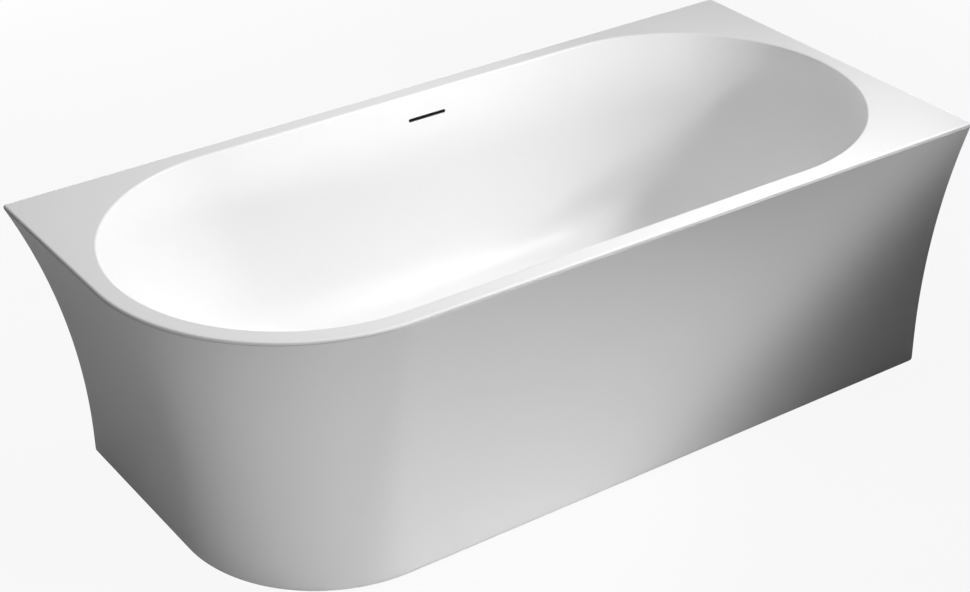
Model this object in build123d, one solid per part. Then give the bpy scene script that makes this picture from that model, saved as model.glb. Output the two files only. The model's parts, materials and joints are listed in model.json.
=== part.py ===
from build123d import *
import os
from math import cos, radians, sin, sqrt, tan

# Corner freestanding bathtub: an acrylic shell bonded into a flared one-piece apron.
# Millimetres, +X along the tub, +Y to the long wall, +Z up, floor at Z = 0.
# The back (+Y) and the right end (+X) stand flat against two walls.

# Overall
LENGTH = 1700.0
WIDTH = 800.0
HEIGHT = 600.0
FLOOR_HEIGHT = 175.0

# Flared apron
END_FLARE = 118.0
FRONT_FLARE = 88.0
FLARE_START = 49.0
CORNER_R_BASE = 303.0
EDGE_R_TOP = 4.0
EDGE_R_BASE = 8.0
BASE_ROUND = 10.0
ROLL_LAND = 1.0
ROLL_STEPS = 6
APRON_WALL = 5.0
APRON_FLANGE = 26.0
APRON_FLANGE_T = 5.0
APRON_LIFT = 2.0
APRON_SECTIONS = 7
WALL_TRIM = 0.05

# Moulded tub shell
RIM_WIDTH = 38.0
SHELL_WALL = 6.0
SIDE_SLOPE = 10.0
END_SLOPE = 24.0
SIDE_FLOOR_R = 110.0
END_FLOOR_R = 153.0
BOWL_STEPS = 9
RIM_OUTER_ROUND = 4.0
RIM_INNER_ROUND = 5.0
BOND_T = 1.0
BOND_RECESS = 2.0
BOND_W = 20.0

# Waste hole in the floor
DRAIN_X = 57.0
DRAIN_Y = 60.0
DRAIN_HOLE_R = 24.5
RECESS_R = 37.0
RECESS_DEPTH = 3.0
BOSS_R = 46.0

# Overflow slot in the back wall of the basin
SLOT_DROP = 53.0
SLOT_LENGTH = 90.0
SLOT_HEIGHT = 7.5
LINER_T = 0.9
LINER_GAP = 0.1

# Base board and support rails
BOARD_LENGTH = 1000.0
BOARD_WIDTH = 370.0
BOARD_T = 18.0
BOARD_CORNER_R = 120.0
BOARD_HOLE_R = 50.0
RAIL_SIZE = 30.0
RAIL_WALL = 2.0
RAIL_ROUND = 3.0
RAIL_INSET = 60.0
RAIL_END_GAP = 25.0
CAP_HEAD_T = 4.0
CAP_PLUG_LENGTH = 14.0
CAP_FIT = 0.2
BLOCK_WIDTH = 40.0
BLOCK_HEIGHT = 56.0
BLOCK_BOND = 0.3
SCREW_R = 2.2
SCREW_HEAD_R = 4.6
SCREW_HEAD_T = 2.6
SCREW_DEPTH = 12.0
SCREW_HOLE_R = 2.6
SCREW_SPREAD = 110.0

# Levelling feet
STUD_R = 6.0
STUD_FIT = 0.4
FOOT_INSET = 45.0
FOOT_UP = 12.0
STUD_SPARE = 2.0
NUT_FLATS = 19.0
WELD_NUT_T = 10.0
LOCK_NUT_T = 7.0
PAD_R = 26.0
PAD_T = 6.0
PAD_HUB_R = 12.0
PAD_HUB_T = 16.0
PAD_FIT = 0.2
PAD_ROUND = 1.5
SOLE_R = 24.0
SOLE_T = 3.0
CENTRE_FOOT_X = -120.0
PLATE_LENGTH = 90.0
PLATE_WIDTH = 70.0
PLATE_T = 3.0
PLATE_SCREW_X = 34.0
PLATE_SCREW_Y = 24.0
BOARD_STUD_R = 9.0

# Pop-up waste
FLANGE_R = 36.0
FLANGE_SEAL_T = 1.0
FLANGE_BED = 0.05
FLANGE_T = 3.0
SEAT_TOP_R = 24.5
SEAT_LOW_R = 21.0
SEAT_DROP = 5.0
THROAT_R = 20.5
TAIL_R = 23.5
TAIL_LENGTH = 32.0
HUB_R = 7.5
HUB_TOP = 20.0
HUB_T = 12.0
SPOKE_W = 4.0
SPOKE_T = 5.0
SPOKES = 4
CARTRIDGE_R = 5.4
CARTRIDGE_HEAD_R = 7.0
CARTRIDGE_HEAD_T = 2.0
CARTRIDGE_BORE_R = 4.2
CARTRIDGE_LENGTH = 42.0
CARTRIDGE_BASE_T = 3.0
CARTRIDGE_FIT = 0.2
STEM_R = 4.0
STEM_GUIDE = 17.0
PLUG_TRAVEL = 9.0
CAP_R = 32.0
CAP_LIFT = 1.5
CAP_T = 5.0
CAP_EDGE_T = 2.2
CAP_BOSS_R = 8.0
CAP_BOSS_DROP = 7.0
STEM_DEPTH = 8.0
STEM_FIT = 0.1
PLUG_SEAL_R = 18.0
PLUG_SEAL_DROP = 3.0
PLUG_SEAL_GAP = 0.25
SPRING_MEAN_R = 3.1
SPRING_WIRE_R = 0.5
SPRING_TURNS = 5
SPRING_GAP = 0.1

# Waste body and trap
WASHER_R = 41.0
WASHER_T = 4.0
BODY_FLANGE_R = 42.0
BODY_FLANGE_T = 7.0
BODY_BORE_R = 23.8
BODY_BORE_LENGTH = 23.0
CHAMBER_R = 30.5
CHAMBER_WALL = 3.5
CHAMBER_LENGTH = 34.0
SPIGOT_R = 20.0
SPIGOT_WALL = 3.0
SPIGOT_LENGTH = 18.0
PORT_DROP = 30.0
PORT_R = 15.5
PORT_LENGTH = 62.0
TRAP_R = 20.0
TRAP_WALL = 2.5
TRAP_BEND_R = 36.0
TRAP_BEND_GAP = 4.0
TRAP_CLEARANCE = 14.0
TRAP_RISE = 4.0
TRAP_COLLAR_R = 23.0
TRAP_COLLAR_T = 4.0
OUTLET_LENGTH = 60.0
TRAP_SEAL_T = 2.0
TRAP_NUT_R = 29.0
TRAP_NUT_T = 22.0
TRAP_NUT_LIP = 5.0
NUT_SIDES = 12
NUT_FIT = 0.3

# Overflow box and pipe
GASKET_T = 2.0
BOX_LENGTH = 140.0
BOX_HEIGHT = 50.0
BOX_DEPTH = 28.0
BOX_WALL = 3.0
BOX_ROUND = 10.0
PIPE_R = 11.0
PIPE_WALL = 2.0
PIPE_FIT = 0.3
PIPE_BEND_R = 50.0
PIPE_INSERT = 16.0
COLLAR_R = 14.0
COLLAR_LENGTH = 22.0
COLLAR_FRONT_GAP = 6.0
PIPE_NUT_WALL = 3.0
PIPE_NUT_T = 16.0
PIPE_NUT_LIP = 4.0
PIPE_SEAL_T = 3.0

# Levels that follow from the sizes above
DECK_BOTTOM = HEIGHT - SHELL_WALL
APRON_TOP = DECK_BOTTOM - BOND_T
BASIN_DEPTH = HEIGHT - FLOOR_HEIGHT
OPENING_HALF_W = WIDTH / 2 - RIM_WIDTH
OPENING_HALF_L = LENGTH / 2 - RIM_WIDTH
CORNER_R_TOP = WIDTH / 2
ROLL_TOP = APRON_LIFT + BASE_ROUND
BOARD_TOP = FLOOR_HEIGHT - SHELL_WALL
BOARD_BOTTOM = BOARD_TOP - BOARD_T
RAIL_BOTTOM = BOARD_BOTTOM - RAIL_SIZE
BOSS_BOTTOM = FLOOR_HEIGHT - RECESS_DEPTH - SHELL_WALL
RAIL_X = BOARD_LENGTH / 2 - RAIL_INSET
RAIL_FRONT = -WIDTH / 2 + FRONT_FLARE + APRON_WALL + RAIL_END_GAP
RAIL_BACK = WIDTH / 2 - APRON_WALL - RAIL_END_GAP
BODY_TOP = BOSS_BOTTOM - WASHER_T
CHAMBER_TOP = BODY_TOP - BODY_BORE_LENGTH
CHAMBER_BOTTOM = CHAMBER_TOP - CHAMBER_LENGTH
SPIGOT_BOTTOM = CHAMBER_BOTTOM - SPIGOT_LENGTH
PORT_Z = BODY_TOP - PORT_DROP
SLOT_X = DRAIN_X
SLOT_Z = HEIGHT - SLOT_DROP
SLOT_FRAME_Y = OPENING_HALF_W - SLOT_DROP * tan(radians(SIDE_SLOPE)) + SHELL_WALL / cos(radians(SIDE_SLOPE))
PIPE_Y = SLOT_FRAME_Y - BOX_HEIGHT / 2 * sin(radians(SIDE_SLOPE)) + COLLAR_FRONT_GAP + COLLAR_R
DRAIN = (DRAIN_X, DRAIN_Y)
FEET = {
    "front_left": (-RAIL_X, RAIL_FRONT + FOOT_INSET),
    "front_right": (RAIL_X, RAIL_FRONT + FOOT_INSET),
    "back_left": (-RAIL_X, RAIL_BACK - FOOT_INSET),
    "back_right": (RAIL_X, RAIL_BACK - FOOT_INSET),
    "centre": (CENTRE_FOOT_X, 0.0),
}
RAILS = {"left": -RAIL_X, "right": RAIL_X}
PLATE_BOTTOM = BOARD_BOTTOM - PLATE_T
STEM_BOTTOM = HUB_TOP - CARTRIDGE_HEAD_T + STEM_GUIDE + PLUG_TRAVEL


def cylinder(radius, low, high, at=(0.0, 0.0)):
    """Upright cylinder between two heights."""
    return Pos(at[0], at[1], low) * extrude(Circle(radius), high - low)


def tube(outer, inner, low, high, at=(0.0, 0.0)):
    """Upright ring between two heights."""
    return Pos(at[0], at[1], low) * extrude(Circle(outer) - Circle(inner), high - low)


def turned(points, at, level):
    """Profile of (radius, height) corners turned about an upright axis."""
    outline = Polyline(*[(r, 0, z) for r, z in points], close=True)
    return Pos(at[0], at[1], level) * revolve(make_face(outline), Axis.Z)


def flare_in(z, flare):
    """Distance the apron stands in from the rim edge at a height: a concave arc, upright at the floor."""
    rise = APRON_TOP - FLARE_START
    radius = (rise ** 2 + flare ** 2) / (2 * flare)
    up = max(z - FLARE_START, 0.0)
    return flare - radius + sqrt(radius ** 2 - up ** 2)


def quarter(centre, radius, first, z):
    """Quarter circle at a height, from one compass angle to the next."""
    places = [
        (centre[0] + radius * cos(radians(a)), centre[1] + radius * sin(radians(a)), z)
        for a in (first, first + 45, first + 90)
    ]
    return Edge.make_three_point_arc(*places)


def apron_loop(z, inset, over=0.0):
    """Apron outline at a height: large round front-left corner, three small ones, two straight wall sides."""
    share = flare_in(z, END_FLARE) / END_FLARE
    big = CORNER_R_TOP + (CORNER_R_BASE - CORNER_R_TOP) * share - inset
    small = max(EDGE_R_TOP + (EDGE_R_BASE - EDGE_R_TOP) * share - inset, 1.0)
    left = -LENGTH / 2 + flare_in(z, END_FLARE) + inset
    front = -WIDTH / 2 + flare_in(z, FRONT_FLARE) + inset
    right = LENGTH / 2 - inset + over
    back = WIDTH / 2 - inset + over
    edges = [
        Edge.make_line((left + big, front, z), (right - small, front, z)),
        quarter((right - small, front + small), small, 270, z),
        Edge.make_line((right, front + small, z), (right, back - small, z)),
        quarter((right - small, back - small), small, 0, z),
        Edge.make_line((right - small, back, z), (left + small, back, z)),
        quarter((left + small, back - small), small, 90, z),
        Edge.make_line((left, back - small, z), (left, front + big, z)),
        quarter((left + big, front + big), big, 180, z),
    ]
    return Wire(edges)


def apron_space(inset, low, high, over=0.0):
    """Solid filling the apron's outline, moved in by an inset, between two heights."""
    steps = [low + (high - low) * i / (APRON_SECTIONS - 1) for i in range(APRON_SECTIONS)]
    return Solid.make_loft([apron_loop(z, inset, over) for z in steps])


def apron_roll(inset, over=0.0):
    """Solid filling the rolled lower edge of the apron's outline, moved in by an inset."""
    radius = BASE_ROUND - inset
    loops = []
    for i in range(ROLL_STEPS + 1):
        turn = radians(90.0 * i / ROLL_STEPS)
        loops.append(apron_loop(ROLL_TOP - radius * cos(turn), inset + radius - radius * sin(turn), over))
    return Solid.make_loft(loops)


def rim_plate(inset, low, high):
    """Flat plate with the rim's outline, moved in by an inset."""
    return extrude(make_face(apron_loop(APRON_TOP, inset).moved(Pos(0, 0, low - APRON_TOP))), high - low)


def basin_in(depth, slope, floor_r, outward):
    """Distance the basin wall stands in from the opening at a depth: straight slope, then an arc to the floor."""
    lean = radians(slope)
    centre_depth = BASIN_DEPTH - floor_r
    centre_in = centre_depth * tan(lean) + floor_r / cos(lean)
    radius = floor_r + outward
    if depth <= centre_depth + radius * sin(lean):
        return depth * tan(lean) - outward / cos(lean)
    return centre_in - sqrt(max(radius ** 2 - (depth - centre_depth) ** 2, 0.0))


def basin_loop(depth, outward):
    """Basin outline at a depth: two straight sides and two half-round ends."""
    half_w = OPENING_HALF_W - basin_in(depth, SIDE_SLOPE, SIDE_FLOOR_R, outward)
    half_l = OPENING_HALF_L - basin_in(depth, END_SLOPE, END_FLOOR_R, outward)
    run = half_l - half_w
    z = HEIGHT - depth
    edges = [
        Edge.make_line((-run, -half_w, z), (run, -half_w, z)),
        quarter((run, 0), half_w, 270, z),
        quarter((run, 0), half_w, 0, z),
        Edge.make_line((run, half_w, z), (-run, half_w, z)),
        quarter((-run, 0), half_w, 90, z),
        quarter((-run, 0), half_w, 180, z),
    ]
    return Wire(edges)


def basin_space(outward, above):
    """Solid filling the basin, grown outward by a wall: straight sloped sides, then a bowl down to the floor."""
    turns = ((SIDE_SLOPE, SIDE_FLOOR_R), (END_SLOPE, END_FLOOR_R))
    split = min(BASIN_DEPTH - r + (r + outward) * sin(radians(lean)) for lean, r in turns)
    drop = BASIN_DEPTH + outward - split
    depths = [split + drop * sin(radians(90.0 * i / BOWL_STEPS)) for i in range(BOWL_STEPS + 1)]
    sides = Solid.make_loft([basin_loop(d, outward) for d in (-above, split)], ruled=True)
    bowl = Solid.make_loft([basin_loop(d, outward) for d in depths])
    return Part() + sides + bowl


def wall_frame():
    """Plane on the outer face of the basin's back wall at the slot: X along the tub, Y down, Z outward."""
    lean = radians(SIDE_SLOPE)
    return Plane((SLOT_X, SLOT_FRAME_Y, SLOT_Z), x_dir=(1, 0, 0), z_dir=(0, cos(lean), -sin(lean)))


def slot_bar(grow, low, high):
    """Round-ended bar through the basin wall at the overflow slot."""
    bar = extrude(SlotOverall(SLOT_LENGTH + 2 * grow, SLOT_HEIGHT + 2 * grow), high - low)
    return wall_frame() * Pos(0, 0, low) * bar


def tub_shell():
    """Acrylic shell: flat rim deck, sloped basin, floor recess with the waste hole and the overflow slot."""
    shell = Part() + rim_plate(0.0, DECK_BOTTOM, HEIGHT) + basin_space(SHELL_WALL, 0.0)
    shell += cylinder(BOSS_R, BOSS_BOTTOM, FLOOR_HEIGHT, DRAIN)
    shell -= basin_space(0.0, RIM_INNER_ROUND)
    top = shell.faces().sort_by(Axis.Z)[-1]
    shell = fillet(top.outer_wire().edges(), RIM_OUTER_ROUND)
    top = shell.faces().filter_by(Plane.XY).sort_by(Axis.Z)[-1]
    shell = fillet(top.inner_wires()[0].edges(), RIM_INNER_ROUND)
    shell -= cylinder(RECESS_R, FLOOR_HEIGHT - RECESS_DEPTH, FLOOR_HEIGHT + RECESS_DEPTH, DRAIN)
    shell -= cylinder(DRAIN_HOLE_R, BOSS_BOTTOM - RECESS_DEPTH, FLOOR_HEIGHT, DRAIN)
    return shell - slot_bar(0.0, -2 * SHELL_WALL, SHELL_WALL)


def apron():
    """One-piece flared skirt with an inward flange at the top and a lower edge rolled in round an open bottom."""
    walls = Pos(0, 0, HEIGHT / 2) * Box(LENGTH, WIDTH, HEIGHT)
    upper = Part() + apron_space(0.0, ROLL_TOP, APRON_TOP, WALL_TRIM) & walls
    lower = Part() + apron_roll(0.0, WALL_TRIM) & walls
    skirt = upper + lower
    skirt -= Part() + apron_space(APRON_WALL, ROLL_TOP, APRON_TOP - APRON_FLANGE_T) + apron_roll(APRON_WALL)
    skirt -= extrude(make_face(apron_loop(0.0, BASE_ROUND + ROLL_LAND)), ROLL_TOP)
    return skirt - rim_plate(APRON_FLANGE, APRON_TOP - 2 * APRON_FLANGE_T, APRON_TOP + APRON_FLANGE_T)


def rim_bond():
    """Bead of adhesive between the apron flange and the underside of the rim."""
    return rim_plate(BOND_RECESS, APRON_TOP, DECK_BOTTOM) - rim_plate(
        BOND_RECESS + BOND_W, APRON_TOP - BOND_T, DECK_BOTTOM + BOND_T
    )


def screw_places():
    """Screw places under the board: two on each rail and four on the centre plate, with their seat level."""
    places = [(x, y, RAIL_BOTTOM) for x in RAILS.values() for y in (-SCREW_SPREAD, SCREW_SPREAD)]
    for dx in (-PLATE_SCREW_X, PLATE_SCREW_X):
        for dy in (-PLATE_SCREW_Y, PLATE_SCREW_Y):
            places.append((CENTRE_FOOT_X + dx, dy, PLATE_BOTTOM))
    return places


def base_board():
    """Timber board under the basin floor, with the waste hole, a stud hole and pilot holes."""
    board = extrude(RectangleRounded(BOARD_LENGTH, BOARD_WIDTH, BOARD_CORNER_R), BOARD_T)
    board = Pos(0, 0, BOARD_BOTTOM) * board
    board -= cylinder(BOARD_HOLE_R, BOARD_BOTTOM - BOARD_T, BOARD_TOP + BOARD_T, DRAIN)
    board -= cylinder(BOARD_STUD_R, BOARD_BOTTOM - BOARD_T, BOARD_TOP + BOARD_T, FEET["centre"])
    for x, y, seat in screw_places():
        board -= cylinder(SCREW_HOLE_R, BOARD_BOTTOM - BOARD_T, BOARD_BOTTOM + SCREW_DEPTH, (x, y))
    return board


def support_rail(x):
    """Square steel tube across the tub with stud holes and screw holes."""
    middle = (RAIL_FRONT + RAIL_BACK) / 2
    span = RAIL_BACK - RAIL_FRONT
    outline = RectangleRounded(RAIL_SIZE, RAIL_SIZE, RAIL_ROUND)
    hollow = RectangleRounded(RAIL_SIZE - 2 * RAIL_WALL, RAIL_SIZE - 2 * RAIL_WALL, RAIL_ROUND - RAIL_WALL)
    rail = extrude(outline - hollow, span / 2, both=True)
    rail = Pos(x, middle, BOARD_BOTTOM - RAIL_SIZE / 2) * Rot(90, 0, 0) * rail
    for fx, fy in FEET.values():
        if fx == x:
            rail -= cylinder(STUD_R + STUD_FIT, RAIL_BOTTOM - RAIL_WALL, RAIL_BOTTOM + 2 * RAIL_WALL, (fx, fy))
    for sx, sy, seat in screw_places():
        if sx == x:
            rail -= cylinder(SCREW_HOLE_R, RAIL_BOTTOM - RAIL_WALL, BOARD_BOTTOM + RAIL_WALL, (sx, sy))
    return rail


def rail_end_caps():
    """Plastic plugs that close the four open rail ends."""
    plug_size = RAIL_SIZE - 2 * RAIL_WALL - 2 * CAP_FIT
    head = extrude(RectangleRounded(RAIL_SIZE, RAIL_SIZE, RAIL_ROUND), CAP_HEAD_T)
    plug = extrude(RectangleRounded(plug_size, plug_size, RAIL_ROUND - RAIL_WALL), -CAP_PLUG_LENGTH)
    plug -= extrude(Rectangle(plug_size - 2 * RAIL_WALL, plug_size - 2 * RAIL_WALL), -2 * CAP_PLUG_LENGTH)
    cap = head + plug
    level = BOARD_BOTTOM - RAIL_SIZE / 2
    caps = []
    for x in RAILS.values():
        caps.append(Pos(x, RAIL_FRONT, level) * Rot(90, 0, 0) * cap)
        caps.append(Pos(x, RAIL_BACK, level) * Rot(-90, 0, 0) * cap)
    return Compound(children=caps)


def apron_blocks():
    """Bonded blocks that tie the rail ends to the inside of the apron."""
    level = BOARD_BOTTOM - RAIL_SIZE / 2
    inside = apron_space(APRON_WALL + BLOCK_BOND, ROLL_TOP, APRON_TOP)
    blocks = []
    for x in RAILS.values():
        for end, side in ((RAIL_FRONT - CAP_HEAD_T, -1), (RAIL_BACK + CAP_HEAD_T, 1)):
            bar = Pos(x, end + side * RAIL_END_GAP, level) * Box(BLOCK_WIDTH, 2 * RAIL_END_GAP, BLOCK_HEIGHT)
            blocks += (bar & inside).solids()
    return Compound(children=blocks)


def board_screws():
    """Pan-head screws that hold the rails and the centre plate to the board."""
    screws = []
    for x, y, seat in screw_places():
        shank = cylinder(SCREW_R, seat, BOARD_BOTTOM + SCREW_DEPTH, (x, y))
        head = cylinder(SCREW_HEAD_R, seat - SCREW_HEAD_T, seat, (x, y))
        screws.append(shank + fillet(head.edges().group_by(Axis.Z)[0], SCREW_HEAD_T / 2))
    return Compound(children=screws)


def centre_plate():
    """Steel plate under the board that carries the middle foot."""
    plate = Pos(CENTRE_FOOT_X, 0, PLATE_BOTTOM) * extrude(
        RectangleRounded(PLATE_LENGTH, PLATE_WIDTH, PLATE_T), PLATE_T
    )
    plate -= cylinder(STUD_R + STUD_FIT, PLATE_BOTTOM - PLATE_T, BOARD_BOTTOM + PLATE_T, FEET["centre"])
    for x, y, seat in screw_places():
        if seat == PLATE_BOTTOM:
            plate -= cylinder(SCREW_HOLE_R, PLATE_BOTTOM - PLATE_T, BOARD_BOTTOM + PLATE_T, (x, y))
    return plate


def nut_seat(foot):
    """Level that a foot's welded nut hangs from."""
    return PLATE_BOTTOM if foot == "centre" else RAIL_BOTTOM


def hex_nuts(drop, thickness):
    """One hexagon nut on every stud, a given drop below its seat."""
    shape = RegularPolygon(NUT_FLATS / 2, 6, major_radius=False) - Circle(STUD_R + STUD_FIT)
    nuts = []
    for foot, (x, y) in FEET.items():
        nuts.append(Pos(x, y, nut_seat(foot) - drop - thickness) * extrude(shape, thickness))
    return Compound(children=nuts)


def stud_top(foot):
    """Upper end of a stud: clear of what is above it when its foot is wound right up."""
    ceiling = BOARD_TOP if foot == "centre" else BOARD_BOTTOM - RAIL_WALL
    return ceiling - FOOT_UP - STUD_SPARE


def foot_stud(foot):
    """Levelling stud from the pad's socket up through the nuts."""
    top = stud_top(foot)
    stud = cylinder(STUD_R, SOLE_T + PAD_T, top, FEET[foot])
    return chamfer(stud.edges(), PAD_FIT * 4)


def foot_pad(foot):
    """Plastic pad with a socket for the stud."""
    disc = cylinder(PAD_R, SOLE_T / 2, SOLE_T + PAD_T, FEET[foot])
    disc = fillet(disc.edges().group_by(Axis.Z)[-1], PAD_ROUND)
    hub = cylinder(PAD_HUB_R, SOLE_T, SOLE_T + PAD_T + PAD_HUB_T, FEET[foot])
    pad = disc + chamfer(hub.edges().group_by(Axis.Z)[-1], PAD_ROUND)
    pad -= cylinder(STUD_R + PAD_FIT, SOLE_T + PAD_T, SOLE_T + PAD_T + 2 * PAD_HUB_T, FEET[foot])
    return pad - cylinder(SOLE_R + PAD_FIT, 0.0, SOLE_T, FEET[foot])


def foot_sole(foot):
    """Rubber sole let into the underside of the pad."""
    return cylinder(SOLE_R, 0.0, SOLE_T, FEET[foot])


def seat_r(drop):
    """Radius of the waste's conical seat at a drop below the flange top."""
    return SEAT_TOP_R - (SEAT_TOP_R - SEAT_LOW_R) * drop / SEAT_DROP


FLANGE_BOTTOM = FLOOR_HEIGHT - RECESS_DEPTH + FLANGE_SEAL_T + FLANGE_BED
FLANGE_TOP = FLANGE_BOTTOM + FLANGE_T


def flange_seal():
    """Flat rubber ring between the waste flange and the floor recess."""
    low = FLOOR_HEIGHT - RECESS_DEPTH
    return tube(FLANGE_R - FLANGE_SEAL_T, DRAIN_HOLE_R, low, low + FLANGE_SEAL_T, DRAIN)


def waste_flange():
    """Plated flange with a conical seat, a threaded tail and a spoked hub."""
    profile = [
        (TAIL_R, -FLANGE_T - TAIL_LENGTH),
        (TAIL_R, -FLANGE_T),
        (FLANGE_R, -FLANGE_T),
        (FLANGE_R, -FLANGE_T / 2),
        (FLANGE_R - FLANGE_T / 2, 0.0),
        (SEAT_TOP_R, 0.0),
        (SEAT_LOW_R, -SEAT_DROP),
        (THROAT_R, -SEAT_DROP - FLANGE_T),
        (THROAT_R, -FLANGE_T - TAIL_LENGTH),
    ]
    flange = Part() + turned(profile, DRAIN, FLANGE_TOP)
    hub_top = FLANGE_TOP - HUB_TOP
    flange += cylinder(HUB_R, hub_top - HUB_T, hub_top, DRAIN)
    spoke = Pos(0, 0, hub_top - HUB_T + SPOKE_T / 2) * Box(2 * THROAT_R + SPOKE_W / 2, SPOKE_W, SPOKE_T)
    for i in range(SPOKES // 2):
        flange += Pos(*DRAIN) * Rot(0, 0, 360 / SPOKES * i) * spoke
    return flange - cylinder(CARTRIDGE_R + CARTRIDGE_FIT, hub_top - 2 * HUB_T, FLANGE_TOP, DRAIN)


def cartridge():
    """Push-to-open cartridge: a closed sleeve that screws into the hub."""
    top = FLANGE_TOP - HUB_TOP + CARTRIDGE_HEAD_T
    bottom = top - CARTRIDGE_LENGTH
    sleeve = cylinder(CARTRIDGE_R, bottom, top, DRAIN)
    sleeve += cylinder(CARTRIDGE_HEAD_R, top - CARTRIDGE_HEAD_T, top, DRAIN)
    return sleeve - cylinder(CARTRIDGE_BORE_R, bottom + CARTRIDGE_BASE_T, top + CARTRIDGE_HEAD_T, DRAIN)


def plug_spring():
    """Compression spring in the cartridge, under the stem."""
    low = FLANGE_TOP - HUB_TOP + CARTRIDGE_HEAD_T - CARTRIDGE_LENGTH + CARTRIDGE_BASE_T
    high = FLANGE_TOP - STEM_BOTTOM
    height = high - low - 2 * SPRING_WIRE_R - 2 * SPRING_GAP
    path = Helix(height / SPRING_TURNS, height, SPRING_MEAN_R)
    wire = Plane(path @ 0, z_dir=path % 0) * Circle(SPRING_WIRE_R)
    coil = sweep(wire, path, is_frenet=True)
    return Pos(DRAIN_X, DRAIN_Y, low + SPRING_WIRE_R + SPRING_GAP) * coil


def plug_stem():
    """Plated stem that slides in the cartridge and carries the cap."""
    stem = cylinder(STEM_R, FLANGE_TOP - STEM_BOTTOM, FLANGE_TOP + CAP_LIFT - CAP_BOSS_DROP + STEM_DEPTH, DRAIN)
    return chamfer(stem.edges(), STEM_FIT * 4)


def plug_cap():
    """Domed cap with a centre boss, standing just clear of the flange."""
    low = CAP_LIFT
    rise = CAP_T - CAP_EDGE_T
    dome_r = (CAP_R ** 2 + rise ** 2) / (2 * rise)
    half = CAP_R / 2
    crown = low + CAP_T
    side = [
        Line((0, 0, low), (CAP_R, 0, low)),
        Line((CAP_R, 0, low), (CAP_R, 0, low + CAP_EDGE_T)),
        ThreePointArc(
            (CAP_R, 0, low + CAP_EDGE_T), (half, 0, crown - dome_r + sqrt(dome_r ** 2 - half ** 2)), (0, 0, crown)
        ),
        Line((0, 0, crown), (0, 0, low)),
    ]
    cap = Pos(DRAIN_X, DRAIN_Y, FLANGE_TOP) * revolve(make_face(side), Axis.Z)
    cap = fillet(cap.edges().filter_by(lambda e: e.is_closed).group_by(Axis.Z)[-1], CAP_EDGE_T / 3)
    cap += cylinder(CAP_BOSS_R, FLANGE_TOP + low - CAP_BOSS_DROP, FLANGE_TOP + low, DRAIN)
    bore_top = FLANGE_TOP + low - CAP_BOSS_DROP + STEM_DEPTH
    return cap - cylinder(STEM_R + STEM_FIT, bore_top - 2 * STEM_DEPTH, bore_top, DRAIN)


def plug_seal():
    """Rubber ring under the cap that closes on the conical seat."""
    rim = seat_r(0.0) - PLUG_SEAL_GAP
    foot = seat_r(PLUG_SEAL_DROP) - PLUG_SEAL_GAP
    profile = [
        (PLUG_SEAL_R, -PLUG_SEAL_DROP),
        (foot, -PLUG_SEAL_DROP),
        (rim, 0.0),
        (rim, CAP_LIFT),
        (PLUG_SEAL_R, CAP_LIFT),
    ]
    return turned(profile, DRAIN, FLANGE_TOP)


def floor_washer():
    """Thick rubber washer under the floor, above the waste body."""
    return tube(WASHER_R, DRAIN_HOLE_R, BODY_TOP, BOSS_BOTTOM, DRAIN)


def waste_body():
    """Plastic waste body: flanged bore, chamber, bottom spigot and a side port for the overflow."""
    chamber_in = CHAMBER_R - CHAMBER_WALL
    spigot_in = SPIGOT_R - SPIGOT_WALL
    profile = [
        (BODY_BORE_R, 0.0),
        (BODY_FLANGE_R, 0.0),
        (BODY_FLANGE_R, -BODY_FLANGE_T),
        (CHAMBER_R, -BODY_FLANGE_T),
        (CHAMBER_R, CHAMBER_BOTTOM - BODY_TOP),
        (SPIGOT_R, CHAMBER_BOTTOM - BODY_TOP - CHAMBER_WALL),
        (SPIGOT_R, SPIGOT_BOTTOM - BODY_TOP),
        (spigot_in, SPIGOT_BOTTOM - BODY_TOP),
        (spigot_in, CHAMBER_BOTTOM - BODY_TOP),
        (chamber_in, CHAMBER_BOTTOM - BODY_TOP + CHAMBER_WALL),
        (chamber_in, CHAMBER_TOP - BODY_TOP),
        (BODY_BORE_R, CHAMBER_TOP - BODY_TOP),
    ]
    body = Part() + turned(profile, DRAIN, BODY_TOP)
    port = Pos(DRAIN_X, DRAIN_Y, PORT_Z) * Rot(-90, 0, 0)
    body += port * Pos(0, 0, chamber_in) * extrude(Circle(PORT_R), PORT_LENGTH - chamber_in)
    body -= port * extrude(Circle(PIPE_R + PIPE_FIT), PORT_LENGTH + PIPE_INSERT)
    return body


def ribbed_nut(radius, bore, lip_bore, length, lip):
    """Twelve-sided plastic nut with a stepped bore, its lip at the far end."""
    nut = extrude(RegularPolygon(radius, NUT_SIDES), length)
    nut -= extrude(Circle(bore), length - lip)
    return nut - extrude(Circle(lip_bore), 2 * length)


def trap_nut():
    """Nut that draws the trap's collar up to the waste body's spigot."""
    nut = ribbed_nut(TRAP_NUT_R, TRAP_COLLAR_R + NUT_FIT, TRAP_R + NUT_FIT, TRAP_NUT_T, TRAP_NUT_LIP)
    bottom = SPIGOT_BOTTOM - TRAP_SEAL_T - TRAP_COLLAR_T - TRAP_NUT_LIP
    return Pos(DRAIN_X, DRAIN_Y, bottom + TRAP_NUT_T) * Rot(180, 0, 0) * nut


def trap_seal():
    """Rubber ring between the spigot and the trap's collar."""
    return tube(SPIGOT_R + NUT_FIT, SPIGOT_R - SPIGOT_WALL, SPIGOT_BOTTOM - TRAP_SEAL_T, SPIGOT_BOTTOM, DRAIN)


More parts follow.
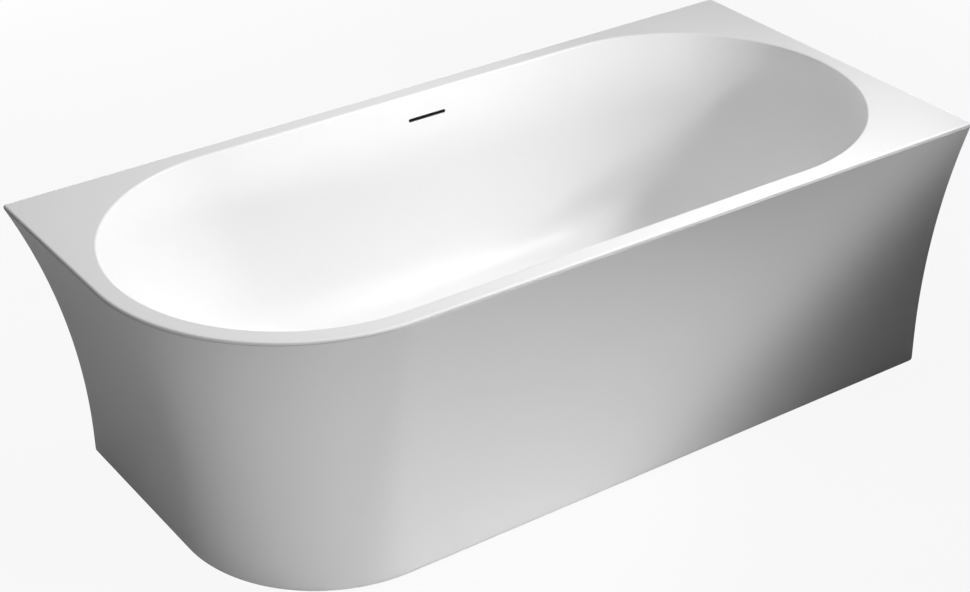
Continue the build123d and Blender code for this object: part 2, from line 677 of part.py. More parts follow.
def trap_pipe():
    """Low water trap in one bent pipe, with a collar on top and a plain outlet spigot."""
    top = SPIGOT_BOTTOM - TRAP_SEAL_T
    low = TRAP_CLEARANCE + TRAP_R
    high = low + 2 * TRAP_BEND_R + TRAP_RISE
    far = DRAIN_X + 2 * TRAP_BEND_R + TRAP_BEND_GAP
    end = far + TRAP_BEND_R + OUTLET_LENGTH
    stops = [
        (DRAIN_X, DRAIN_Y, top),
        (DRAIN_X, DRAIN_Y, low),
        (far, DRAIN_Y, low),
        (far, DRAIN_Y, high),
        (end, DRAIN_Y, high),
    ]
    path = FilletPolyline(*stops, radius=TRAP_BEND_R)
    ring = Plane(path @ 0, z_dir=path % 0) * (Circle(TRAP_R) - Circle(TRAP_R - TRAP_WALL))
    pipe = sweep(ring, path)
    return pipe + tube(TRAP_COLLAR_R, TRAP_R - TRAP_WALL, top - TRAP_COLLAR_T, top, DRAIN)


def overflow_gasket():
    """Flat rubber frame between the basin wall and the overflow box."""
    outline = RectangleRounded(BOX_LENGTH, BOX_HEIGHT, BOX_ROUND)
    window = RectangleRounded(BOX_LENGTH - 2 * BOX_ROUND, BOX_HEIGHT - 2 * BOX_ROUND, BOX_WALL)
    return wall_frame() * extrude(outline - window, GASKET_T)


def collar_bottom():
    """Level of the lower end of the overflow box's outlet."""
    return SLOT_Z - BOX_HEIGHT / 2 - COLLAR_LENGTH


def overflow_box():
    """Plastic box behind the slot, open to the wall, with an outlet at the bottom."""
    outline = RectangleRounded(BOX_LENGTH, BOX_HEIGHT, BOX_ROUND)
    hollow = RectangleRounded(BOX_LENGTH - 2 * BOX_WALL, BOX_HEIGHT - 2 * BOX_WALL, BOX_ROUND - BOX_WALL)
    box = wall_frame() * Pos(0, 0, GASKET_T) * extrude(outline, BOX_DEPTH)
    drop = SLOT_Z - BOX_HEIGHT / 3
    outlet = cylinder(COLLAR_R, collar_bottom(), drop, (SLOT_X, PIPE_Y))
    keep = wall_frame() * Pos(0, 0, GASKET_T) * extrude(Rectangle(2 * BOX_LENGTH, 4 * BOX_LENGTH), 2 * BOX_DEPTH)
    box = Part() + box + (outlet & keep)
    box -= wall_frame() * extrude(hollow, GASKET_T + BOX_DEPTH - BOX_WALL)
    return box - cylinder(PIPE_R + PIPE_FIT, collar_bottom() - COLLAR_LENGTH, drop, (SLOT_X, PIPE_Y))


def overflow_pipe():
    """Rigid overflow pipe: down behind the basin, then under it to the waste body."""
    stops = [
        (SLOT_X, PIPE_Y, collar_bottom() + PIPE_INSERT),
        (SLOT_X, PIPE_Y, PORT_Z),
        (DRAIN_X, DRAIN_Y + PORT_LENGTH - PIPE_INSERT, PORT_Z),
    ]
    path = FilletPolyline(*stops, radius=PIPE_BEND_R)
    ring = Plane(path @ 0, z_dir=path % 0) * (Circle(PIPE_R) - Circle(PIPE_R - PIPE_WALL))
    return sweep(ring, path)


def pipe_joint(end):
    """Frame of a pipe joint, looking from the socket's mouth along the pipe."""
    if end == "top":
        return Pos(SLOT_X, PIPE_Y, collar_bottom()) * Rot(180, 0, 0)
    return Pos(DRAIN_X, DRAIN_Y + PORT_LENGTH, PORT_Z) * Rot(-90, 0, 0)


def overflow_nut(end):
    """Nut at one end of the overflow pipe, pushed up over the socket."""
    outer = COLLAR_R if end == "top" else PORT_R
    nut = ribbed_nut(outer + PIPE_NUT_WALL, outer + NUT_FIT, PIPE_R + NUT_FIT, PIPE_NUT_T, PIPE_NUT_LIP)
    return pipe_joint(end) * Pos(0, 0, PIPE_SEAL_T + PIPE_NUT_LIP - PIPE_NUT_T) * nut


def overflow_seals():
    """Rubber rings squeezed by the two pipe nuts."""
    rings = []
    for end in ("top", "bottom"):
        outer = COLLAR_R if end == "top" else PORT_R
        rings.append(pipe_joint(end) * extrude(Circle(outer) - Circle(PIPE_R + PIPE_FIT), PIPE_SEAL_T))
    return Compound(children=rings)


def slot_liner():
    """Thin dark sleeve that lines the overflow slot."""
    return slot_bar(-LINER_GAP, -SHELL_WALL + LINER_T, 0.0) - slot_bar(
        -LINER_GAP - LINER_T, -2 * SHELL_WALL, SHELL_WALL
    )


def build():
    """Every piece by its name."""
    pieces = {
        "tub_shell": tub_shell(),
        "apron": apron(),
        "rim_bond": rim_bond(),
        "base_board": base_board(),
        "rail_end_caps": rail_end_caps(),
        "apron_blocks": apron_blocks(),
        "board_screws": board_screws(),
        "centre_plate": centre_plate(),
        "foot_weld_nuts": hex_nuts(0.0, WELD_NUT_T),
        "foot_lock_nuts": hex_nuts(WELD_NUT_T, LOCK_NUT_T),
        "flange_seal": flange_seal(),
        "waste_flange": waste_flange(),
        "cartridge": cartridge(),
        "plug_spring": plug_spring(),
        "plug_stem": plug_stem(),
        "plug_cap": plug_cap(),
        "plug_seal": plug_seal(),
        "floor_washer": floor_washer(),
        "waste_body": waste_body(),
        "trap_nut": trap_nut(),
        "trap_seal": trap_seal(),
        "trap_pipe": trap_pipe(),
        "slot_liner": slot_liner(),
        "overflow_gasket": overflow_gasket(),
        "overflow_box": overflow_box(),
        "overflow_pipe": overflow_pipe(),
        "overflow_seals": overflow_seals(),
    }
    for side, x in RAILS.items():
        pieces["rail_" + side] = support_rail(x)
    for end in ("top", "bottom"):
        pieces["overflow_nut_" + end] = overflow_nut(end)
    for foot in FEET:
        pieces["foot_" + foot + "_stud"] = foot_stud(foot)
        pieces["foot_" + foot + "_pad"] = foot_pad(foot)
        pieces["foot_" + foot + "_sole"] = foot_sole(foot)
    return pieces


os.makedirs("parts", exist_ok=True)
for name, shape in build().items():
    export_step(shape, "parts/" + name + ".step")
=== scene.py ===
# %% [markdown]
# # A corner freestanding bathtub
# The tub is two big mouldings bonded together: a white shell that holds the water,
# and a flared skirt round it. Under them sit a board, rails, feet and pipes.
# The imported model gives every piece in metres, in one frame, so nothing is fitted by eye.

import json
from math import atan, atan2, copysign, cos, pi, radians, sin, sqrt, tan

import bpy
from mathutils import Matrix, Vector


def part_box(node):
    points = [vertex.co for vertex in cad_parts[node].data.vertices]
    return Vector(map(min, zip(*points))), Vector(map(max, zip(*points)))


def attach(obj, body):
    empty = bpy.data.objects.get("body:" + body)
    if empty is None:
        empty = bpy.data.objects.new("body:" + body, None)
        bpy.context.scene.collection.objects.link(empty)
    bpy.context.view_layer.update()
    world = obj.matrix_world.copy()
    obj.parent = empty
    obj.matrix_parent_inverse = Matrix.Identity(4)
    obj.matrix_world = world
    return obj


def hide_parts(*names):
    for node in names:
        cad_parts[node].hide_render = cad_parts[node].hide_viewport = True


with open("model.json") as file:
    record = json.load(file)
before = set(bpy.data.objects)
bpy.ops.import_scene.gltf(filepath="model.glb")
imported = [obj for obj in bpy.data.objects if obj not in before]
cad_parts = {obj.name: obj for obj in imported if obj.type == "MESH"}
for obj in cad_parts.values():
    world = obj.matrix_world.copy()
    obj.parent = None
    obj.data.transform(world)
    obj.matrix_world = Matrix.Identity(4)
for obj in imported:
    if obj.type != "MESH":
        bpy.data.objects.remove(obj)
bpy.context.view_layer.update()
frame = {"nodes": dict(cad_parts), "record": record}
nodes = frame["nodes"]

# %% [markdown]
# ## The sizes that rule the shape
# The big mouldings follow a few rules: how far the skirt stands in at the floor,
# how round its free corner is, and how the basin leans. They are written once, in metres,
# and both mouldings are made from them, so they meet exactly at the rim.

# %% Sizes of the two mouldings
LENGTH = 1.700
WIDTH = 0.800
HEIGHT = 0.600
FLOOR_HEIGHT = 0.175
RIM_T = 0.006
SEAM = 0.001
SKIRT_TOP = HEIGHT - RIM_T - SEAM
END_FLARE = 0.118
FRONT_FLARE = 0.088
FLARE_START = 0.049
CORNER_TOP = 0.400
CORNER_FLOOR = 0.303
EDGE_TOP = 0.004
EDGE_FLOOR = 0.008
RIM_WIDTH = 0.038
SIDE_SLOPE = radians(10.0)
END_SLOPE = radians(24.0)
SIDE_BOWL = 0.110
END_BOWL = 0.153
BASIN_DEPTH = HEIGHT - FLOOR_HEIGHT
HALF_W = WIDTH / 2 - RIM_WIDTH
HALF_L = LENGTH / 2 - RIM_WIDTH
RUN = HALF_L - HALF_W
print("opening", 2 * HALF_L, "by", 2 * HALF_W, "m, basin", round(BASIN_DEPTH, 3), "m deep")

# %% [markdown]
# ## Wiring nodes like arithmetic
# Node trees for shapes and for finishes are both made of small sums. Adding every Math node
# by hand hides the rule, so one small class wraps a socket and lets Python's own signs add them.
# Any other node comes from one method: its type, its settings, then its sockets.


# %% A socket that can be added and multiplied
class Wire:
    """An output socket that behaves like a number."""

    def __init__(self, tree, socket):
        self.tree = tree
        self.socket = socket

    def sum(self, operation, *others):
        node = self.tree.nodes.new("ShaderNodeMath")
        node.operation = operation
        for place, value in enumerate(others):
            join(self.tree, value, node.inputs[place])
        return Wire(self.tree, node.outputs[0])

    def __add__(self, other):
        return self.sum("ADD", self, other)

    def __radd__(self, other):
        return self.sum("ADD", other, self)

    def __sub__(self, other):
        return self.sum("SUBTRACT", self, other)

    def __rsub__(self, other):
        return self.sum("SUBTRACT", other, self)

    def __mul__(self, other):
        return self.sum("MULTIPLY", self, other)

    def __rmul__(self, other):
        return self.sum("MULTIPLY", other, self)

    def __truediv__(self, other):
        return self.sum("DIVIDE", self, other)

    def __rtruediv__(self, other):
        return self.sum("DIVIDE", other, self)

    def __mod__(self, other):
        return self.sum("FLOORED_MODULO", self, other)

    def __lt__(self, other):
        return self.sum("LESS_THAN", self, other)

    def __gt__(self, other):
        return self.sum("GREATER_THAN", self, other)

    def call(self, operation, *others):
        return self.sum(operation, self, *others)

    def between(self, low, high):
        """0 below low, 1 above high, straight in between."""
        return ((self - low) / (high - low)).call("MAXIMUM", 0.0).call("MINIMUM", 1.0)


def join(tree, value, socket):
    """Links a wire to a socket, or sets a plain value on it."""
    if isinstance(value, Wire):
        tree.links.new(value.socket, socket)
    else:
        socket.default_value = value


class Bench:
    """A node tree under work."""

    def __init__(self, tree):
        self.tree = tree

    def add(self, kind, settings=None, sockets=None, out=0):
        """One node by type, settings and sockets; gives one of its outputs."""
        node = self.tree.nodes.new(kind)
        for name, value in (settings or {}).items():
            setattr(node, name, value)
        for name, value in (sockets or {}).items():
            join(self.tree, value, node.inputs[name])
        return Wire(self.tree, node.outputs[out])


print("wires ready")

# %% [markdown]
# ## Turning a rule into a mesh
# A shape that follows a rule is best kept as a rule: a Geometry Nodes tree with named inputs.
# The tree starts from a flat grid, and each grid point is sent to its place by arithmetic.
# The result is then frozen to a plain mesh, because the export keeps no live trees.


# %% Helpers for Geometry Nodes shapes
SHARP_BEND = 0.6
MERGE_GAP = 0.00001


def rule_tree(name, sizes):
    """An empty tree with one named input for every size and one for the finish."""
    tree = bpy.data.node_groups.new(name, "GeometryNodeTree")
    tree.interface.new_socket("Geometry", in_out="OUTPUT", socket_type="NodeSocketGeometry")
    tree.interface.new_socket("Finish", in_out="INPUT", socket_type="NodeSocketMaterial")
    for label in sizes:
        tree.interface.new_socket(label, in_out="INPUT", socket_type="NodeSocketFloat")
    source = tree.nodes.new("NodeGroupInput")
    return Bench(tree), {socket.name: Wire(tree, socket) for socket in source.outputs if socket.name}


def close_tree(bench, shape, finish):
    """Smooth faces with sharp edges past an angle, then Realize Instances and Set Material."""
    faces = {"Geometry": shape, "Shade Smooth": True}
    shape = bench.add("GeometryNodeSetShadeSmooth", {"domain": "FACE"}, faces)
    bend = bench.add("GeometryNodeInputMeshEdgeAngle")
    edges = {"Geometry": shape, "Selection": bend > SHARP_BEND, "Shade Smooth": False}
    shape = bench.add("GeometryNodeSetShadeSmooth", {"domain": "EDGE"}, edges)
    shape = bench.add("GeometryNodeRealizeInstances", None, {"Geometry": shape})
    shape = bench.add("GeometryNodeSetMaterial", None, {"Geometry": shape, "Material": finish})
    end = bench.tree.nodes.new("NodeGroupOutput")
    bench.tree.links.new(shape.socket, end.inputs[0])


def freeze(name, tree, finish, sizes):
    """Runs a tree with its sizes and gives the result as an object with a plain mesh."""
    holder = bpy.data.objects.new(name + "_rule", bpy.data.meshes.new(name + "_rule"))
    bpy.context.scene.collection.objects.link(holder)
    rule = holder.modifiers.new("rule", "NODES")
    rule.node_group = tree
    for item in tree.interface.items_tree:
        if item.in_out == "INPUT":
            rule[item.identifier] = finish if item.name == "Finish" else float(sizes[item.name])
    ready = holder.evaluated_get(bpy.context.evaluated_depsgraph_get())
    mesh = bpy.data.meshes.new_from_object(ready)
    bpy.data.objects.remove(holder)
    mesh.name = name
    piece = bpy.data.objects.new(name, mesh)
    bpy.context.scene.collection.objects.link(piece)
    print(name, "has", len(mesh.polygons), "faces")
    return piece


print("shape helpers ready")

# %% [markdown]
# ## Finishes
# Each finish is a small node tree on object coordinates, so the pattern has its real size
# in metres and stays put when a piece moves. A finish is never one flat colour:
# moulded acrylic has faint waves, zinc has spangles, chipboard has flakes, rubber has bloom.


# %% Helpers for finishes
FINISHES = {}


def finish_bench(name):
    """A new material with its own Principled shader and object coordinates."""
    material = bpy.data.materials.new(name)
    material.use_nodes = True
    tree = material.node_tree
    tree.nodes.clear()
    bench = Bench(tree)
    shader = tree.nodes.new("ShaderNodeBsdfPrincipled")
    end = tree.nodes.new("ShaderNodeOutputMaterial")
    tree.links.new(shader.outputs[0], end.inputs[0])
    place = bench.add("ShaderNodeTexCoord", out="Object")
    return material, bench, shader, place


def noise(bench, place, scale, detail=3.0, rough=0.5, stretch=None):
    """Noise from 0 to 1, its scale in features per metre."""
    if stretch:
        place = bench.add("ShaderNodeMapping", None, {"Vector": place, "Scale": stretch})
    settings = {"noise_dimensions": "3D"}
    sockets = {"Vector": place, "Scale": scale, "Detail": detail, "Roughness": rough}
    return bench.add("ShaderNodeTexNoise", settings, sockets)


def blend(bench, share, first, second):
    """Colour between two colours; each may be a wire."""
    node = bench.tree.nodes.new("ShaderNodeMix")
    node.data_type = "RGBA"
    join(bench.tree, share, node.inputs[0])
    for value, socket in ((first, node.inputs[6]), (second, node.inputs[7])):
        join(bench.tree, value if isinstance(value, Wire) else (*value, 1.0), socket)
    return Wire(bench.tree, node.outputs[2])


def dress(bench, shader, height=None, bump_depth=0.0, **sockets):
    """Sets or links the shader's sockets, and a bump if there is a height."""
    for label, value in sockets.items():
        name = label.replace("_", " ").title().replace("Ior", "IOR")
        join(bench.tree, value, shader.inputs[name])
    if height is not None:
        bump = bench.add("ShaderNodeBump", None, {"Height": height, "Distance": bump_depth, "Strength": 1.0})
        join(bench.tree, bump, shader.inputs["Normal"])


print("finish helpers ready")

# %% [markdown]
# ### White moulded acrylic
# Sheet acrylic is sucked down over a mould while hot. Its face keeps a soft gloss, with faint long
# waves and a fine orange peel that only show in the reflections. The hidden side is sprayed with
# resin and chopped glass, which is matt, creamy and rough. An attribute says which side a face is.


# %% White acrylic, smooth outside and glass-fibred behind
def white_acrylic():
    material, bench, shader, place = finish_bench("white_acrylic")
    back = bench.add("ShaderNodeAttribute", {"attribute_name": "hidden_side"}, out="Fac")
    cloud = noise(bench, place, 3.0, 2.0)
    peel = noise(bench, place, 420.0, 2.0)
    wave = noise(bench, place, 6.0, 1.0)
    smear = noise(bench, place, 22.0, 4.0, 0.6)
    strands = noise(bench, place, 160.0, 4.0, 0.7, (1.0, 6.0, 2.0))
    chop = noise(bench, place, 130.0, 4.0, 0.7, (5.0, 1.0, 3.0))
    fibre = strands.call("MAXIMUM", chop)
    face = blend(bench, cloud, (0.900, 0.905, 0.905), (0.925, 0.925, 0.920))
    rear = blend(bench, fibre, (0.62, 0.58, 0.47), (0.84, 0.82, 0.73))
    gloss = 0.30 + 0.10 * smear
    dress(
        bench,
        shader,
        height=(1 - back) * (0.02 * peel + 0.25 * wave) + back * fibre,
        bump_depth=0.0012,
        base_color=blend(bench, back, face, rear),
        roughness=gloss + back * (0.62 - gloss),
        specular_ior_level=0.22,
        ior=1.49,
    )
    return material


FINISHES["white_acrylic"] = white_acrylic()
print("finishes:", ", ".join(FINISHES))

# %% [markdown]
# ### Metals
# The waste and its plug are polished chrome: nearly a mirror, with only faint wiping marks.
# Rails, nuts, studs and screws are zinc plated: grey, with soft crystals and dull patches.


# %% Chrome and zinc
def chrome():
    material, bench, shader, place = finish_bench("chrome")
    wipe = noise(bench, place, 260.0, 3.0, 0.6, (1.0, 3.0, 1.0))
    haze = noise(bench, place, 45.0, 2.0)
    tint = blend(bench, haze, (0.52, 0.53, 0.54), (0.60, 0.61, 0.61))
    dress(bench, shader, wipe, 0.00002, base_color=tint, metallic=1.0, roughness=0.05 + 0.07 * wipe * haze)
    return material


def zinc_steel():
    material, bench, shader, place = finish_bench("zinc_steel")
    cells = {"Vector": place, "Scale": 210.0}
    crystal = bench.add("ShaderNodeTexVoronoi", {"feature": "F1"}, cells, out="Distance")
    dull = noise(bench, place, 34.0, 4.0, 0.6)
    grain = noise(bench, place, 900.0, 2.0)
    share = crystal.call("MINIMUM", 1.0) * 0.55 + dull * 0.45
    tint = blend(bench, share, (0.50, 0.51, 0.53), (0.74, 0.75, 0.76))
    dress(
        bench, shader, grain * 0.4 + crystal * 0.6, 0.00008,
        base_color=tint, metallic=1.0, roughness=0.28 + 0.26 * dull,
    )
    return material


FINISHES |= {"chrome": chrome(), "zinc_steel": zinc_steel()}
print("finishes:", ", ".join(FINISHES))

# %% [markdown]
# ### Plastics and rubber
# Pipe plastic is satin white with a faint flow pattern. The dark plastic of the pads and the slot
# has a fine spark-eroded grain. Rubber is nearly black, dull, and a little dusty. The bead of
# adhesive between the two mouldings is white and slightly lumpy.


# %% Plastics and rubber
def white_pipe():
    material, bench, shader, place = finish_bench("white_pipe")
    flow = noise(bench, place, 40.0, 3.0, 0.5, (1.0, 1.0, 0.3))
    grain = noise(bench, place, 1100.0, 2.0)
    tint = blend(bench, flow, (0.80, 0.80, 0.78), (0.87, 0.87, 0.86))
    dress(bench, shader, grain, 0.00005, base_color=tint, roughness=0.30 + 0.14 * flow)
    return material


def black_plastic():
    material, bench, shader, place = finish_bench("black_plastic")
    grain = noise(bench, place, 1400.0, 3.0, 0.6)
    scuff = noise(bench, place, 60.0, 4.0, 0.65)
    tint = blend(bench, scuff, (0.070, 0.070, 0.073), (0.120, 0.120, 0.124))
    dress(bench, shader, grain, 0.0001, base_color=tint, roughness=0.42 + 0.25 * scuff)
    return material


def black_rubber():
    material, bench, shader, place = finish_bench("black_rubber")
    dust = noise(bench, place, 90.0, 4.0, 0.7)
    pores = noise(bench, place, 1600.0, 2.0)
    tint = blend(bench, dust, (0.018, 0.018, 0.018), (0.060, 0.058, 0.055))
    dress(bench, shader, pores, 0.00008, base_color=tint, roughness=0.72 + 0.2 * dust)
    return material


def white_adhesive():
    material, bench, shader, place = finish_bench("white_adhesive")
    lumps = noise(bench, place, 140.0, 3.0, 0.55)
    tint = blend(bench, lumps, (0.70, 0.70, 0.68), (0.82, 0.82, 0.81))
    dress(bench, shader, lumps, 0.0006, base_color=tint, roughness=0.40 + 0.2 * lumps)
    return material


FINISHES |= {"white_pipe": white_pipe(), "black_plastic": black_plastic()}
FINISHES |= {"black_rubber": black_rubber(), "white_adhesive": white_adhesive()}
print("finishes:", ", ".join(FINISHES))

# %% [markdown]
# ### Chipboard
# The board under the floor is pressed wood chips. Voronoi cells, squashed flat, give chips of
# many browns, and a fine noise roughens them. The same board is cut up for the four blocks.


# %% Chipboard
def chip_board():
    material, bench, shader, place = finish_bench("board")
    flat = bench.add("ShaderNodeMapping", None, {"Vector": place, "Scale": (1.0, 1.6, 3.0)})
    cells = {"Vector": flat, "Scale": 150.0}
    chips = bench.add("ShaderNodeTexVoronoi", {"feature": "F1"}, cells, out="Color")
    split = bench.add("ShaderNodeSeparateColor", None, {"Color": chips}, out="Red")
    grain = noise(bench, place, 500.0, 4.0, 0.6, (1.0, 8.0, 8.0))
    wood = blend(bench, split, (0.50, 0.36, 0.21), (0.82, 0.69, 0.50))
    tint = blend(bench, grain * 0.5, wood, (0.62, 0.48, 0.30))
    dress(bench, shader, split * 0.6 + grain * 0.4, 0.0004, base_color=tint, roughness=0.66 + 0.2 * grain)
    return material


FINISHES["board"] = chip_board()
print("finishes:", ", ".join(FINISHES))

# %% [markdown]
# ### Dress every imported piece
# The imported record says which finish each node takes, so the finishes above are handed out by it.

# %% Hand out the finishes
for row in frame["record"]["subparts"]:
    mesh = nodes[row["node"]].data
    mesh.materials.clear()
    mesh.materials.append(FINISHES[row["material_slot"]])

# %% [markdown]
# ## The flared skirt
# The skirt is one moulding: flat and upright on its two wall sides, flared on the front and the free end,
# with one big rounded corner between them. It could be lofted from drawn outlines, but the outline at
# every height follows a rule, so a grid is bent to that rule. Across the grid runs round four corners;
# up the grid runs over the outside, in over the top flange, down its edge, and back down the inside.

# %% The skirt as a rule
SKIRT = {
    "Length": LENGTH,
    "Width": WIDTH,
    "Top": SKIRT_TOP,
    "Lift": 0.002,
    "Wall": 0.005,
    "Flange": 0.026,
    "Flange thickness": 0.005,
    "Edge break": 0.0008,
    "Base round": 0.010,
    "Roll land": 0.001,
    "End flare": END_FLARE,
    "Front flare": FRONT_FLARE,
    "Flare start": FLARE_START,
    "Corner at top": CORNER_TOP,
    "Corner at floor": CORNER_FLOOR,
    "Edge at top": EDGE_TOP,
    "Edge at floor": EDGE_FLOOR,
}
CORNER_STEPS = 33
LEAST_RADIUS = 0.001
SPANS = {
    "land": (0, 1),
    "roll": (1, 9),
    "outside": (9, 48),
    "edge break": (48, 49),
    "flange": (49, 50),
    "flange edge": (50, 51),
    "under flange": (51, 52),
    "inside": (52, 70),
    "inner roll": (70, 76),
    "inner land": (76, 77),
    "foot": (77, 78),
}
SKIRT_ROWS = SPANS["foot"][1]
HIDDEN_ROW = SPANS["flange edge"][0] + 0.2


def skirt_profile(row, size):
    """Height and inset of a row, summed from the spans of rows that it has passed."""
    done = {name: row.between(*span) for name, span in SPANS.items()}
    chip = size["Edge break"]
    wall = size["Wall"]
    rim = size["Flange thickness"]
    outer = size["Base round"]
    inner = outer - wall
    above = size["Top"] - size["Lift"] - outer
    out_turn = done["roll"] * (pi / 2)
    in_turn = (1 - done["inner roll"]) * (pi / 2)
    height = size["Lift"] + outer * (1 - out_turn.call("COSINE")) + (above - chip) * done["outside"]
    height = height + chip * done["edge break"] - rim * done["flange edge"] - (above - rim) * done["inside"]
    height = height - inner * in_turn.call("COSINE") - wall * done["foot"]
    inset = outer * (1 - out_turn.call("SINE")) + size["Roll land"] * (1 - done["land"] + done["inner land"])
    inset = inset + chip * done["edge break"] + (size["Flange"] - chip) * done["flange"]
    inset = inset - (size["Flange"] - wall) * done["under flange"] + inner * (1 - in_turn.call("SINE"))
    return height, inset


def skirt_point(bench, column, height, inset, size):
    """Place of a grid point: one of four corner arcs, moved in by the flare and the inset."""

    def stands_in(flare):
        rise = size["Top"] - size["Flare start"]
        radius = (rise * rise + flare * flare) / (2 * flare)
        up = (height - size["Flare start"]).call("MAXIMUM", 0.0)
        return flare - radius + (radius * radius - up * up).call("SQRT")

    corner = (column / CORNER_STEPS).call("FLOOR") % 4
    turn = ((column % CORNER_STEPS) / (CORNER_STEPS - 1) + corner - 1) * (pi / 2)
    free = corner > 2.5
    right = corner < 1.5
    front = free + (corner < 0.5)
    share = stands_in(size["End flare"]) / size["End flare"]
    big = size["Corner at top"] + (size["Corner at floor"] - size["Corner at top"]) * share - inset
    small = size["Edge at top"] + (size["Edge at floor"] - size["Edge at top"]) * share - inset
    radius = free * big + (1 - free) * small.call("MAXIMUM", LEAST_RADIUS)
    x_right = size["Length"] / 2 - inset - radius
    x_left = stands_in(size["End flare"]) + inset + radius - size["Length"] / 2
    y_front = stands_in(size["Front flare"]) + inset + radius - size["Width"] / 2
    y_back = size["Width"] / 2 - inset - radius
    x = right * x_right + (1 - right) * x_left + radius * turn.call("COSINE")
    y = front * y_front + (1 - front) * y_back + radius * turn.call("SINE")
    return bench.add("ShaderNodeCombineXYZ", None, {"X": x, "Y": y, "Z": height})


def skirt_rule():
    bench, size = rule_tree("skirt rule", SKIRT)
    counts = {"Size X": 1.0, "Size Y": 1.0, "Vertices X": 4 * CORNER_STEPS + 1, "Vertices Y": SKIRT_ROWS + 1}
    sheet = bench.add("GeometryNodeMeshGrid", None, counts, out="Mesh")
    spot = bench.add("GeometryNodeInputPosition")
    across = bench.add("ShaderNodeSeparateXYZ", None, {"Vector": spot}, out="X") + 0.5
    up = bench.add("ShaderNodeSeparateXYZ", None, {"Vector": spot}, out="Y") + 0.5
    hidden = {"Geometry": sheet, "Name": "hidden_side", "Value": (up * SKIRT_ROWS) > HIDDEN_ROW}
    sheet = bench.add("GeometryNodeStoreNamedAttribute", {"data_type": "FLOAT", "domain": "FACE"}, hidden)
    column = (across * (4 * CORNER_STEPS)).call("ROUND")
    row = (up * SKIRT_ROWS).call("ROUND")
    height, inset = skirt_profile(row, size)
    place = skirt_point(bench, column, height, inset, size)
    sheet = bench.add("GeometryNodeSetPosition", None, {"Geometry": sheet, "Position": place})
    sheet = bench.add("GeometryNodeMergeByDistance", None, {"Geometry": sheet, "Distance": MERGE_GAP})
    close_tree(bench, sheet, size["Finish"])
    return bench.tree


skirt = freeze("flared_skirt", skirt_rule(), FINISHES["white_acrylic"], SKIRT)
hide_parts("apron")
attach(skirt, "tub")

# %% [markdown]
# ## The tub shell
# The shell is one sheet of acrylic with a wall of six millimetres: a flat rim, a basin with sloped sides,
# and a floor with a sunk seat for the waste. A cage smoothed by subdivision would drift from the true
# outline, so it is built ring by ring from the same rules: over the rim, down inside, through
# the waste hole, and back up the hidden side. Every ring has the same columns, so all faces are quads.


# %% Columns round the rim
TINY = 0.000001
RUN_STEPS = 24
FAN_STEPS = 18
EDGE_STEPS = 8


def spread(first, last, count):
    """Evenly spread values, without the last."""
    return [first + (last - first) * i / count for i in range(count)]


def rim_columns():
    """Points of the rim's outline, anticlockwise from the front, each with its way out and its mitre."""
    columns = []
    wide = WIDTH / 2
    far = LENGTH / 2
    side = atan((far - EDGE_TOP - RUN) / wide)
    end = atan((wide - EDGE_TOP) / (far - RUN))

    def straight(point, out):
        columns.append((Vector(point), Vector(out), None))

    def arc(x, y, radius, turns, mitre=None):
        for turn in turns:
            out = Vector((cos(turn), sin(turn)))
            columns.append((Vector((x, y)) + radius * out, out, mitre))

    def corner(x, y, quarter):
        """A small corner with both its ends, from a number of quarter turns to the next."""
        turns = [(quarter + i / EDGE_STEPS) * pi / 2 for i in range(EDGE_STEPS + 1)]
        arc(x, y, EDGE_TOP, turns, Vector((copysign(1, x), copysign(1, y))))

    for x in spread(-RUN, RUN, RUN_STEPS) + [RUN + wide * tan(a) for a in spread(0.0, side, FAN_STEPS)]:
        straight((x, -wide), (0, -1))
    corner(far - EDGE_TOP, EDGE_TOP - wide, -1)
    for y in [(far - RUN) * tan(a) for a in spread(-end, end, 2 * FAN_STEPS)[1:]]:
        straight((far, y), (1, 0))
    corner(far - EDGE_TOP, wide - EDGE_TOP, 0)
    back = [RUN + wide * tan(a) for a in spread(side, 0.0, FAN_STEPS)[1:]]
    back += spread(RUN, -RUN, RUN_STEPS)
    back += [-RUN - wide * tan(a) for a in spread(0.0, side, FAN_STEPS)]
    for x in back:
        straight((x, wide), (0, 1))
    corner(EDGE_TOP - far, wide - EDGE_TOP, 1)
    for y in [(far - RUN) * tan(a) for a in spread(end, 0.0, FAN_STEPS)[1:]]:
        straight((-far, y), (-1, 0))
    arc(-RUN, 0.0, CORNER_TOP, spread(pi, 1.5 * pi, 2 * FAN_STEPS))
    return columns


COLUMNS = rim_columns()


def basin_column(point):
    """Where on the basin's outline a rim point looks: its hub on the long axis and its direction."""
    if abs(point.x) <= RUN + TINY:
        return point.x, (pi / 2 if point.y > 0 else -pi / 2)
    hub = RUN if point.x > 0 else -RUN
    return hub, atan2(point.y, point.x - hub)


BASIN = [basin_column(point) for point, out, mitre in COLUMNS]
print("columns:", len(COLUMNS))


# %% Rings of the rim and the basin
def rim_ring(inset, z, least=0.0004):
    """The rim's outline moved in; a corner that would run out of radius goes in along its mitre."""
    past = max(inset - EDGE_TOP + least, 0.0)
    ring = []
    for point, out, mitre in COLUMNS:
        place = point - (inset - past) * out - past * mitre if mitre else point - inset * out
        ring.append((place.x, place.y, z))
    return ring


def wall_in(depth, slope, bowl, outward):
    """How far the basin wall stands in at a depth: a straight slope, then an arc to the floor."""
    centre = BASIN_DEPTH - bowl
    radius = bowl + outward
    if depth <= centre + radius * sin(slope):
        return depth * tan(slope) - outward / cos(slope)
    return centre * tan(slope) + bowl / cos(slope) - sqrt(max(radius**2 - (depth - centre) ** 2, 0.0))


